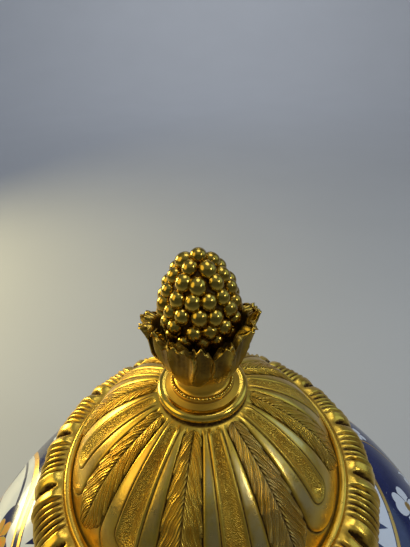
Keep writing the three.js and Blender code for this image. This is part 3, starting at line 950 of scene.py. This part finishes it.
def painted_porcelain(colours):
    """Cobalt ground with white scrolls, panels of orange-gold flowers, gold lines and a clear glaze."""
    finish = Finish("porcelain")
    axes = finish.node("ShaderNodeSeparateXYZ", values=(finish.place,)).socket.node
    x, y, z = (Wire(finish, axes.outputs[k]) * (1 / MM) for k in range(3))
    angle = x.sum("ARCTAN2", y * -1.0) * (180 / math.pi)
    width = (x * x + y * y).sum("SQRT") * (math.pi / 180)
    along, outside = finish.mask("along"), finish.mask("outside")
    period = 360 / colours.panels

    panel_angle = (angle - PANEL.turn).wrap(period)
    dy = along - PANEL.middle
    shape = (abs(panel_angle) / PANEL.half_angle) ** PANEL.corner
    shape = shape + (abs(dy) / PANEL.half_height) ** PANEL.corner
    field = along.line(PANEL.middle, PANEL.field)
    panel = shape.rise(1.0, 0.985) * field
    ground = shape.rise(1.2, 1.3) * field
    petals, hearts, leaves = panel_flowers(panel_angle * width, dy)
    scrolls, ground_gold = ground_scrolls((period / 2 - abs(panel_angle)) * width, along)

    collar = along.line(COLLAR.middle, COLLAR.width)
    lappets = (COLLAR.tip - lappet_teeth(angle, COLLAR.lappets) * COLLAR.drop - along).rise(0.0, SOFT)
    lappets = lappets * (along - COLLAR.root).rise(0.0, SOFT)
    skirt = z.line(SKIRT.middle, SKIRT.width)
    teeth = lappet_teeth(angle, SKIRT.lappets) ** 2.0
    tall = (SKIRT.tip - teeth * SKIRT.drop - z).rise(0.0, SOFT)
    tall_inner = (SKIRT.inner_tip - teeth * SKIRT.inner_drop - z).rise(0.0, SOFT)
    rings = [along.line(*ring) for ring in COLLAR_RINGS] + [z.line(*ring) for ring in SKIRT_RINGS]
    panel_line = shape.line(1.05, 0.10, 0.02) * field
    lines = panel_line.most(ground_gold * ground, hearts * panel, *rings)
    gilt_lines = lines * finish.noise(STROKES.wear, 4.0, 0.7).rise(0.30, 0.40) * outside

    wash = finish.noise(STROKES.wash, 5.0, 0.65)
    thin_blue = tuple(2.1 * part + 0.012 for part in colours.cobalt)
    blue = finish.mix(wash.rise(0.3, 0.75) * 0.55, tuple(colours.cobalt), thin_blue)
    pale = finish.mix(wash.rise(0.35, 0.8) * 0.35, tuple(colours.white),
                      shaded(colours.white, (0.80, 0.87, 0.96)))
    orange = finish.mix(finish.noise(STROKES.petal, 3.0, 0.6).rise(0.3, 0.7), tuple(colours.flower),
                        shaded(colours.flower, (0.72, 1.25, 1.1)))
    coats = ((scrolls * ground, pale), (panel, pale), (leaves * panel * (1.0 - petals), blue),
             (shape.line(0.80, 0.045, 0.015) * panel, blue), (petals * panel, orange), (collar, pale),
             (lappets * collar, blue), (skirt * tall, pale), (skirt * tall_inner, blue),
             (gilt_lines, tuple(colours.gold)))
    paint = blue
    for mask, coat in coats:
        paint = finish.mix(mask, paint, coat)
    ripple = finish.bump(finish.noise(STROKES.ripple, 2.0, 0.5), RISES.ripple, 0.35)
    return finish.done(
        base_color=finish.mix(outside, pale, paint),
        metallic=gilt_lines * 0.85,
        roughness=finish.noise(STROKES.gloss, 3.0, 0.6) * 0.08 + (gilt_lines * 0.15 + 0.11),
        normal=finish.bump(gilt_lines, RISES.gold_line, 0.6, ripple),
    )


class POTICHE_OT_plinth(bpy.types.Operator):
    """Turn the gilt-bronze plinth"""

    bl_idname = "potiche.plinth"
    bl_label = "Plinth"

    def execute(self, context):
        profile = plinth_profile()
        grooves = (PLINTH.step, *(PLINTH_TOP * share for share in PLINTH.grooves))
        # Painted shade in the grooves of the plinth.
        hollow = sum(hump(profile[:, 1], z, 0.7) for z in grooves) * 0.8
        shell = Shell("hollow")
        shell.skin(turned(profile, COLUMNS.plinth), hollow=np.clip(hollow, 0, 1)[None, :])
        finish = gilding("gilt_plinth")
        shell.piece("plinth_turned", "gilt_plinth", finish, "plinth")
        return {"FINISHED"}


class POTICHE_OT_jar(bpy.types.Operator):
    """Throw and paint the porcelain jar"""

    bl_idname = "potiche.jar"
    bl_label = "Porcelain jar"

    def execute(self, context):
        outside, inside = jar_profile()
        profile = np.concatenate((outside, inside))
        length = run_length(profile)
        top = np.argmin(np.abs(outside[:, 1] - JAR.shoulder_z) + np.abs(outside[:, 0] - NECK_FOOT))
        outer = np.arange(len(profile)) < len(outside)
        shell = Shell("along", "outside")
        shell.skin(turned(profile, COLUMNS.jar), along=(length[top] - length)[None, :],
                   outside=outer[None, :] * 1.0)
        finish = painted_porcelain(context.scene.potiche_porcelain)
        shell.piece("jar", "porcelain", finish, "vase_body")
        return {"FINISHED"}


class POTICHE_OT_border(bpy.types.Operator):
    """Chase the ruffled border of the lid"""

    bl_idname = "potiche.border"
    bl_label = "Lid border"

    def execute(self, context):
        columns = BORDER.units * COLUMNS.ruffle
        top, hollow, end = border_points(context.scene.potiche_lid.ruffle / MM, columns)
        fillet, under = border_plain(end)
        grid = np.concatenate((turned(fillet, columns), top, turned(under, columns)), axis=1)
        # Painted shade on the fillet's inner wall, at the fillet's edge and over the whole underside.
        plain = np.where(fillet[:, 0] < BORDER.fillet - 0.95, 0.75, 0)
        plain[-1] = 0.7
        marks = (np.tile(plain, (columns, 1)), hollow, np.full((columns, len(under)), 0.6))
        shell = Shell("hollow")
        shell.skin(grid, loop=True, hollow=np.concatenate(marks, axis=1))
        finish = gilding("gilt_border")
        shell.piece("lid_ruffle", "gilt_border", finish, "lid_border")
        return {"FINISHED"}


class POTICHE_OT_dome(bpy.types.Operator):
    """Chase the lid's dome and lay on its leaves"""

    bl_idname = "potiche.dome"
    bl_label = "Lid dome"

    def execute(self, context):
        lid = context.scene.potiche_lid
        depths = {name: getattr(lid, name) / MM for name in ("flute", "tongue", "leaf")}
        finish = gilding("gilt_satin", chased_grain)
        dome_shell(depths).piece("lid_dome_chased", "gilt_satin", finish, "lid_dome")
        leaf_shell(depths).piece("lid_leaves", "gilt_satin", finish)
        return {"FINISHED"}


class POTICHE_OT_finial_base(bpy.types.Operator):
    """Turn the flange and spool and set the row of beads"""

    bl_idname = "potiche.finial_base"
    bl_label = "Finial base"

    def execute(self, context):
        beads = context.scene.potiche_lid.beads
        profile = spool_profile()
        hollow, matt = spool_marks(profile)
        shell = Shell("hollow", "matt")
        shell.skin(turned(profile, COLUMNS.spool), hollow=hollow[None, :], matt=matt[None, :])
        for k in range(beads):
            centre = swing(BEAD.ring, k * FULL / beads, FLANGE_Z + BEAD.rise)
            shell.skin(ball(centre, BEAD.radius, 12, 9))
        finish = gilding("gilt_burnished")
        shell.piece("finial_spool", "gilt_burnished", finish, "finial_base")
        return {"FINISHED"}


class POTICHE_OT_leaf_cup(bpy.types.Operator):
    """Curl the five leaves of the cup"""

    bl_idname = "potiche.leaf_cup"
    bl_label = "Leaf cup"

    def execute(self, context):
        shell = Shell("hollow")
        # The bowl between the leaves is darkened all over with painted shade.
        shell.skin(turned(cup_bowl(), COLUMNS.bowl), hollow=0.8)
        for leaf in CUP_LEAVES:
            grid, hollow = cup_leaf(*leaf)
            shell.skin(grid, around=False, loop=True, hollow=hollow)
        finish = gilding("gilt_leaves")
        shell.piece("finial_leaves", "gilt_antique", finish, "leaf_cup")
        return {"FINISHED"}


class POTICHE_OT_berries(bpy.types.Operator):
    """Set the berries of the finial on their egg"""

    bl_idname = "potiche.berries"
    bl_label = "Berries"

    def execute(self, context):
        berry = context.scene.potiche_lid.berry / MM
        egg, places = berry_places()
        core = egg + outward(egg) * berry * 0.12
        foot_z = CUP_FLOOR + KNOP.foot_rise
        core = np.concatenate(([(0, core[0, 1])], core[8::14], [(KNOP.foot, foot_z), (0, foot_z)]))
        shell = Shell("hollow")
        # The egg between the berries is darkened with painted shade.
        shell.skin(turned(core, COLUMNS.egg), hollow=0.95)
        for centre, share, longer in places:
            shell.skin(ball(centre, berry * share, 26, 16, longer))
        finish = gilding("gilt_berries")
        shell.piece("finial_berries", "gilt_antique", finish, "berry_knop")
        return {"FINISHED"}


class POTICHE_OT_stage(bpy.types.Operator):
    """Lay the floor, hang the lamps and place the camera"""

    bl_idname = "potiche.stage"
    bl_label = "Stage"

    def lay_floor(self, scene, colour):
        """A flat floor that sweeps up all round."""
        flat, bend, top = SWEEP.flat, SWEEP.bend, SWEEP.top
        turn = np.linspace(0, math.pi / 2, 24)
        curve = np.stack((flat + bend * np.sin(turn), bend * (1 - np.cos(turn))), 1)
        sweep = Shell()
        sweep.skin(turned(np.concatenate(([(0, 0)], curve, [(flat + bend, top)])), COLUMNS.floor))
        floor = bpy.data.objects.new("floor", sweep.mesh("floor"))
        scene.collection.objects.link(floor)
        finish = Finish("floor")
        tone = finish.mix(finish.noise(3.0, 3.0, 0.5), colour, tuple(part * 0.93 for part in colour))
        floor.data.materials.append(finish.done(base_color=tone, roughness=0.8))

    def hang_lamp(self, scene, name, place, aim, size, power, colour):
        """A soft round lamp that points at its aim."""
        light = bpy.data.lights.new(name, "AREA")
        light.shape = "DISK"
        light.size = size
        light.energy = power
        light.color = colour
        lamp = bpy.data.objects.new(name, light)
        lamp.location = place
        lamp.rotation_euler = (Vector(aim) - lamp.location).to_track_quat("-Z", "Y").to_euler()
        scene.collection.objects.link(lamp)

    def place_camera(self, scene, studio):
        """The camera, which looks down on the lid."""
        lens = bpy.data.cameras.new("camera")
        lens.sensor_width = SENSOR
        lens.lens = SENSOR * FOCAL / max(PICTURE)
        camera = bpy.data.objects.new("camera", lens)
        turn = Matrix.Rotation(-studio.yaw, 4, "Z") @ Matrix.Rotation(math.pi / 2 - studio.pitch, 4, "X")
        camera.matrix_world = Matrix.Translation(studio.place) @ turn @ Matrix.Rotation(studio.roll, 4, "Z")
        scene.collection.objects.link(camera)
        scene.camera = camera

    def execute(self, context):
        scene, studio = context.scene, context.scene.potiche_studio
        self.lay_floor(scene, tuple(studio.floor))
        scene.world = bpy.data.worlds.new("studio")
        scene.world.use_nodes = True
        for socket, value in SKY.items():
            scene.world.node_tree.nodes["Background"].inputs[socket].default_value = value
        scene.view_settings.view_transform = "Standard"
        for name, (place, aim, size, power, share, colour) in LAMPS.items():
            self.hang_lamp(scene, name, place, aim, size, getattr(studio, power) * share, colour)
        self.place_camera(scene, studio)
        return {"FINISHED"}


PIECES = (POTICHE_OT_plinth, POTICHE_OT_jar, POTICHE_OT_border, POTICHE_OT_dome, POTICHE_OT_finial_base,
          POTICHE_OT_leaf_cup, POTICHE_OT_berries, POTICHE_OT_stage)


class POTICHE_PT_panel(bpy.types.Panel):
    """Lists the pieces of the potiche"""

    bl_idname = "POTICHE_PT_panel"
    bl_label = "Potiche"
    bl_space_type = "VIEW_3D"
    bl_region_type = "UI"
    bl_category = "Potiche"

    def draw(self, context):
        for piece in PIECES:
            self.layout.operator(piece.bl_idname)


GROUPS = {"potiche_gilt": GiltFinish, "potiche_lid": LidRelief, "potiche_porcelain": Porcelain,
          "potiche_studio": Studio}


def register():
    for group in GROUPS.values():
        bpy.utils.register_class(group)
    for name, group in GROUPS.items():
        setattr(bpy.types.Scene, name, PointerProperty(type=group))
    for piece in (*PIECES, POTICHE_PT_panel):
        bpy.utils.register_class(piece)


def unregister():
    for piece in (POTICHE_PT_panel, *reversed(PIECES)):
        bpy.utils.unregister_class(piece)
    for name, group in GROUPS.items():
        delattr(bpy.types.Scene, name)
        bpy.utils.unregister_class(group)


def main():
    register()
    bpy.ops.potiche.plinth()
    bpy.ops.potiche.jar()
    bpy.ops.potiche.border()
    bpy.ops.potiche.dome()
    bpy.ops.potiche.finial_base()
    bpy.ops.potiche.leaf_cup()
    bpy.ops.potiche.berries()
    bpy.ops.potiche.stage()


if __name__ == "__main__":
    main()
